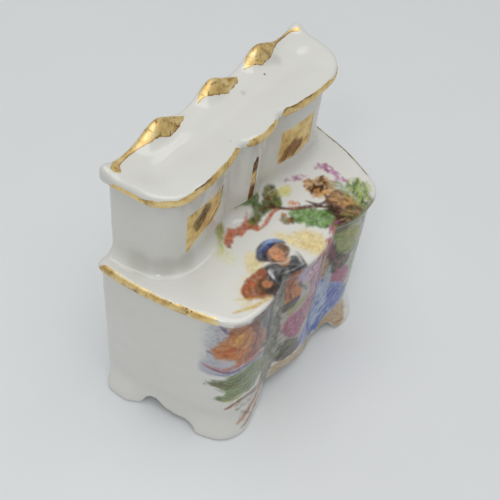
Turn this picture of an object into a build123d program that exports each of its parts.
"""Miniature porcelain sideboard with an upper cabinet, a crested cornice, gilding and a transfer print.

The frame's origin is on the floor, under the middle of the bounding box. +Z is up, the bowed front faces -Y,
and the flat back lies in the plane y = BACK_Y. All sizes are in millimetres.
"""

from build123d import *
import math
import os
from typing import NamedTuple

# Heights above the floor
WALL_TOP = 28.1  # top of the lower cabinet's walls, underside of the serving shelf
SHELF_TOP = 29.6
UPPER_TOP = 43.4  # top of the upper cabinet, underside of the cornice
BOARD_TOP = 44.8  # flat part of the cornice board
FLARE_TOP = 6.0  # where the foot flare dies into the lower walls
COVE_TOP = 31.2  # where the cove at the upper cabinet's foot dies into its walls

# Plan
BACK_Y = 10.85
WALL = 1.9  # thickness of the drain-cast walls
SHELF_OVERHANG = 0.65  # shelf edge beyond the lower walls
CORNICE_OVERHANG = 1.4  # cornice edge beyond the upper walls
EDGE_ROUND = 0.4  # softened edges of the shelf and the cornice board
SHELF_GROOVE = 5.9  # from the middle to the grooves between the lower bays
CORNICE_STEP = 3.6  # from the middle to the steps in the cornice

# Crest along the back of the cornice
CREST_DEPTH = 2.6
CREST_PEAK = 47.1
CREST_VALLEY = 44.9
CREST_CORNER = 46.0
HUMP_PITCH = 9.4  # centre hump to side hump
GILT_CREST_LOW = 45.6  # the gilding covers the humps above this height

# Fired-on decoration
GILT = 0.1  # thickness of a gilt film
INK = 0.06  # thickness of a transfer film
DOOR_X = (5.7, 13.0)  # inner and outer edges of a gilt door, from the middle
DOOR_Z = (33.2, 39.3)
SLOT_X = (-0.2, 0.7)  # gilt slot on the upper cabinet's middle bay
SLOT_Z = (32.4, 38.7)
RIM_Z = (43.55, 44.7)  # gilt band round the cornice board
RIM_GAP = 0.9  # bare porcelain each side of a step
UPPER_FRONT_BAND = 5.2  # the upper cabinet's front lies wholly in front of this y
SHELF_GILT_Y = -6.4  # front end of the gilt band on the shelf's ends
PRINT_X = (-15.6, 16.2)  # left and right limits of the transfer on the shelf
PRINT_WRAP_X = -17.2  # where the transfer on the front ends, round the left corner
PRINT_BACK_Y = 0.2  # rear limit of the transfer on the shelf
PRINT_FRONT_Y = -3.4  # the printed bays lie wholly in front of this y

# Heights and outward growth of the lower walls at the splayed feet, and of the cove above the shelf
FOOT_FLARE = ((0.0, 1.7), (1.0, 1.55), (2.6, 0.9), (4.4, 0.25), (FLARE_TOP, 0.0))
SHELF_COVE = ((SHELF_TOP, 1.25), (29.95, 0.7), (30.5, 0.2), (COVE_TOP, 0.0))

REACH = 60.0  # longer than any cut needs


class Arc(NamedTuple):
    """Circle that part of a plan follows."""

    x: float
    y: float
    r: float


class Plan(NamedTuple):
    """Right half of a bowed plan: an end, a side lobe and the middle bay, with its corner and groove rounded."""

    end: Arc
    lobe: Arc
    middle: Arc
    corner_r: float
    groove_r: float

    def grown(self, by):
        """The same plan, parallel to itself and further out."""
        arcs = [Arc(arc.x, arc.y, arc.r + by) for arc in self[:3]]
        return Plan(*arcs, self.corner_r + by, self.groove_r - by)


def arc_through(a, b, c):
    """Circle through three points."""

    def bisector(p, q):
        return q[0] - p[0], q[1] - p[1], (math.dist(q, (0, 0)) ** 2 - math.dist(p, (0, 0)) ** 2) / 2

    ux, uy, u = bisector(a, b)
    vx, vy, v = bisector(b, c)
    turn = ux * vy - uy * vx
    x = (u * vy - v * uy) / turn
    y = (ux * v - vx * u) / turn
    return Arc(x, y, math.hypot(a[0] - x, a[1] - y))


def crossing(a, b):
    """Front one of the two points where two arcs cross."""
    gap = math.hypot(b.x - a.x, b.y - a.y)
    along = (gap**2 + a.r**2 - b.r**2) / (2 * gap)
    aside = math.sqrt(a.r**2 - along**2)
    ux, uy = (b.x - a.x) / gap, (b.y - a.y) / gap
    points = [(a.x + along * ux - s * uy, a.y + along * uy + s * ux) for s in (aside, -aside)]
    return min(points, key=lambda point: point[1])


def bowed(back, end, corner, lobe, groove, middle_y, corner_r, groove_r):
    """Plan whose right half passes through the named points."""
    return Plan(
        arc_through(back, end, corner),
        arc_through(corner, lobe, groove),
        arc_through(groove, (0, middle_y), (-groove[0], groove[1])),
        corner_r,
        groove_r,
    )


SHELF = bowed((20.2, BACK_Y), (19.5, 2.8), (15.7, -8.9), (10.6, -9.75), (SHELF_GROOVE, -8.45), -9.85, 4.0, 1.2)
CORNICE = bowed((18.8, BACK_Y), (18.5, 7.4), (17.4, 1.3), (9.4, 0.55), (CORNICE_STEP, 1.75), 0.65, 5.0, 0.6)
BODY = SHELF.grown(-SHELF_OVERHANG)
UPPER = CORNICE.grown(-CORNICE_OVERHANG)


def outline(plan, back_y=BACK_Y):
    """Face of a bowed plan, closed by its straight back."""
    end, lobe, middle = plan[:3]
    corner = crossing(end, lobe)
    groove = crossing(lobe, middle)
    back = (end.x + math.sqrt(end.r**2 - (back_y - end.y) ** 2), back_y)

    def between(arc, a, b):
        x, y = (a[0] + b[0]) / 2 - arc.x, (a[1] + b[1]) / 2 - arc.y
        out = arc.r / math.hypot(x, y)
        return (arc.x + x * out, arc.y + y * out)

    def left(point):
        return (-point[0], point[1])

    on_end, on_lobe = between(end, back, corner), between(lobe, corner, groove)
    edges = [
        ThreePointArc(left(back), left(on_end), left(corner)),
        ThreePointArc(left(corner), left(on_lobe), left(groove)),
        ThreePointArc(left(groove), (0, middle.y - middle.r), groove),
        ThreePointArc(groove, on_lobe, corner),
        ThreePointArc(corner, on_end, back),
        Line(back, left(back)),
    ]
    face = make_face(edges)
    for point, radius in ((corner, plan.corner_r), (groove, plan.groove_r)):
        for place in (left(point), point):
            face = fillet(face.vertices().sort_by_distance(Vector(*place))[0], radius)
    return face


def column(face, low, high):
    """Upright block of one face between two heights."""
    return extrude(Pos(0, 0, low) * face, amount=high - low)


def spread_wall(plan, growths, top):
    """Upright block whose outline follows (height, growth) pairs and then rises straight to the top."""
    sections = [Pos(0, 0, z) * outline(plan.grown(grow)) for z, grow in growths]
    return loft(sections) + column(outline(plan), growths[-1][0], top)


def slab(plan, low, high):
    """Board with softened front and end edges."""
    board = column(outline(plan), low, high)
    rim = board.edges().filter_by(Axis.Z, reverse=True)
    rim = rim.filter_by(lambda edge: edge.center().Y < BACK_Y - 0.01)
    return fillet(rim, EDGE_ROUND)


def block(x, y, z):
    """Box between two limits on each axis."""
    size = [high - low for low, high in (x, y, z)]
    middle = [(low + high) / 2 for low, high in (x, y, z)]
    return Pos(*middle) * Box(*size)


def arch(plane, points):
    """Cut of an ogee arch right through the lower cabinet, square to a plane."""
    curve = Spline(*points)
    face = make_face([curve, Line(curve @ 1, curve @ 0)])
    return extrude(plane * face, amount=REACH / 2, both=True)


def front_arch():
    """Arch under the front and back aprons, with a shallow drop in the middle."""
    points = [(-9.6, -0.5), (-8.0, 1.1), (-5.4, 2.5), (-2.2, 3.1), (1.4, 2.4), (5.0, 1.7), (8.6, 2.6), (11.4, -0.5)]
    return arch(Plane.XZ, points)


def end_arch():
    """Arch under the end aprons: high behind, falling in a long slope towards the front foot."""
    points = [(-5.6, -0.5), (-4.3, 1.1), (-1.4, 1.5), (0.6, 2.1), (2.4, 2.9), (3.8, 1.7), (5.0, -0.5)]
    return arch(Plane.YZ, points)


def cavity(plan, low, high):
    """Hollow left when the slip is drained, with a wall all round."""
    return column(outline(plan.grown(-WALL), BACK_Y - WALL), low, high)


def lower_cabinet():
    """Four walls on four splayed bracket feet, open below."""
    walls = spread_wall(BODY, FOOT_FLARE, WALL_TOP) - cavity(BODY, 0, WALL_TOP)
    return walls - front_arch() - end_arch()


def serving_shelf():
    """Top of the lower cabinet, pierced where the upper cabinet's hollow continues down."""
    return slab(SHELF, WALL_TOP, SHELF_TOP) - cavity(UPPER, WALL_TOP, SHELF_TOP)


def upper_cabinet():
    """Narrow hollow box on a soft cove, at the back of the shelf."""
    return spread_wall(UPPER, SHELF_COVE, UPPER_TOP) - cavity(UPPER, SHELF_TOP, UPPER_TOP)


def crest():
    """Three humps and two small corner scrolls along the back of the cornice."""
    foot = UPPER_TOP + EDGE_ROUND
    shoulder = CREST_PEAK - 0.7
    right = [
        (2.0, shoulder),
        (HUMP_PITCH / 2, CREST_VALLEY),
        (HUMP_PITCH - 2.0, shoulder),
        (HUMP_PITCH, CREST_PEAK),
        (HUMP_PITCH + 2.0, shoulder + 0.2),
        (15.6, CREST_VALLEY),
        (18.3, CREST_CORNER),
    ]
    left = [(-x, z) for x, z in reversed(right)]
    curve = Spline(*left, (0, CREST_PEAK), *right)
    base = Polyline(curve @ 1, (right[-1][0], foot), (left[0][0], foot), curve @ 0)
    return extrude(Plane.XZ.offset(-BACK_Y) * make_face([curve, base]), amount=CREST_DEPTH)


def cornice():
    """Cornice board and crest, cast as one."""
    return slab(CORNICE, UPPER_TOP, BOARD_TOP) + crest()


def skin(plan, thickness, x, y, z):
    """Thin film on the upright outer face of a plan, inside a box."""
    return (column(outline(plan.grown(thickness)), *z) - column(outline(plan), *z)) & block(x, y, z)


def crest_gilding(x):
    """Gilt cap over one hump and the upper part of its front face."""
    solid = crest()
    cap = Pos(0, -GILT, GILT) * solid - solid
    return cap & block((x - 4.6, x + 4.6), (0, BACK_Y - GILT), (GILT_CREST_LOW, REACH))


def rim_gilding(x):
    """Gilt stroke round the cornice edge between two distances across."""
    return skin(CORNICE, GILT, x, (-REACH, BACK_Y - 0.6), RIM_Z)


def shelf_gilding(x):
    """Gilt band along one end of the shelf."""
    z = (WALL_TOP + EDGE_ROUND, SHELF_TOP - EDGE_ROUND)
    return skin(SHELF, GILT, x, (SHELF_GILT_Y, BACK_Y - 0.3), z)


def front_gilding(x, z):
    """Gilt panel on the front of the upper cabinet."""
    return skin(UPPER, GILT, x, (-REACH, UPPER_FRONT_BAND), z)


def shelf_print():
    """Transfer on top of the shelf, from its front edge to the foot of the upper cabinet."""
    flat = outline(SHELF.grown(-EDGE_ROUND))
    film = column(flat, SHELF_TOP, SHELF_TOP + INK)
    return film & block(PRINT_X, (-REACH, PRINT_BACK_Y), (0, REACH))


def bay_print(x):
    """Transfer over one bay of the lower front, from under the shelf down to the foot flare."""
    return skin(BODY, INK, x, (-REACH, PRINT_FRONT_Y), (FLARE_TOP, WALL_TOP))


def main():
    step = CORNICE_STEP + RIM_GAP
    groove = SHELF_GROOVE
    nodes = {
        "lower_cabinet": lower_cabinet(),
        "serving_shelf": serving_shelf(),
        "upper_cabinet": upper_cabinet(),
        "crested_cornice": cornice(),
        "gilt_crest_left": crest_gilding(-HUMP_PITCH),
        "gilt_crest_middle": crest_gilding(0),
        "gilt_crest_right": crest_gilding(HUMP_PITCH),
        "gilt_rim_left": rim_gilding((-REACH, -step)),
        "gilt_rim_middle": rim_gilding((-step + 2 * RIM_GAP, step - 2 * RIM_GAP)),
        "gilt_rim_right": rim_gilding((step, REACH)),
        "gilt_door_left": front_gilding((-DOOR_X[1], -DOOR_X[0]), DOOR_Z),
        "gilt_door_right": front_gilding(DOOR_X, DOOR_Z),
        "gilt_slot": front_gilding(SLOT_X, SLOT_Z),
        "gilt_shelf_edge_left": shelf_gilding((-REACH, 0)),
        "gilt_shelf_edge_right": shelf_gilding((0, REACH)),
        "transfer_shelf": shelf_print(),
        "transfer_left_bay": bay_print((PRINT_WRAP_X, -groove)),
        "transfer_middle_bay": bay_print((-groove, groove)),
        "transfer_right_bay": bay_print((groove, PRINT_X[1])),
    }
    os.makedirs("parts", exist_ok=True)
    for name, shape in nodes.items():
        export_step(shape, f"parts/{name}.step")


main()
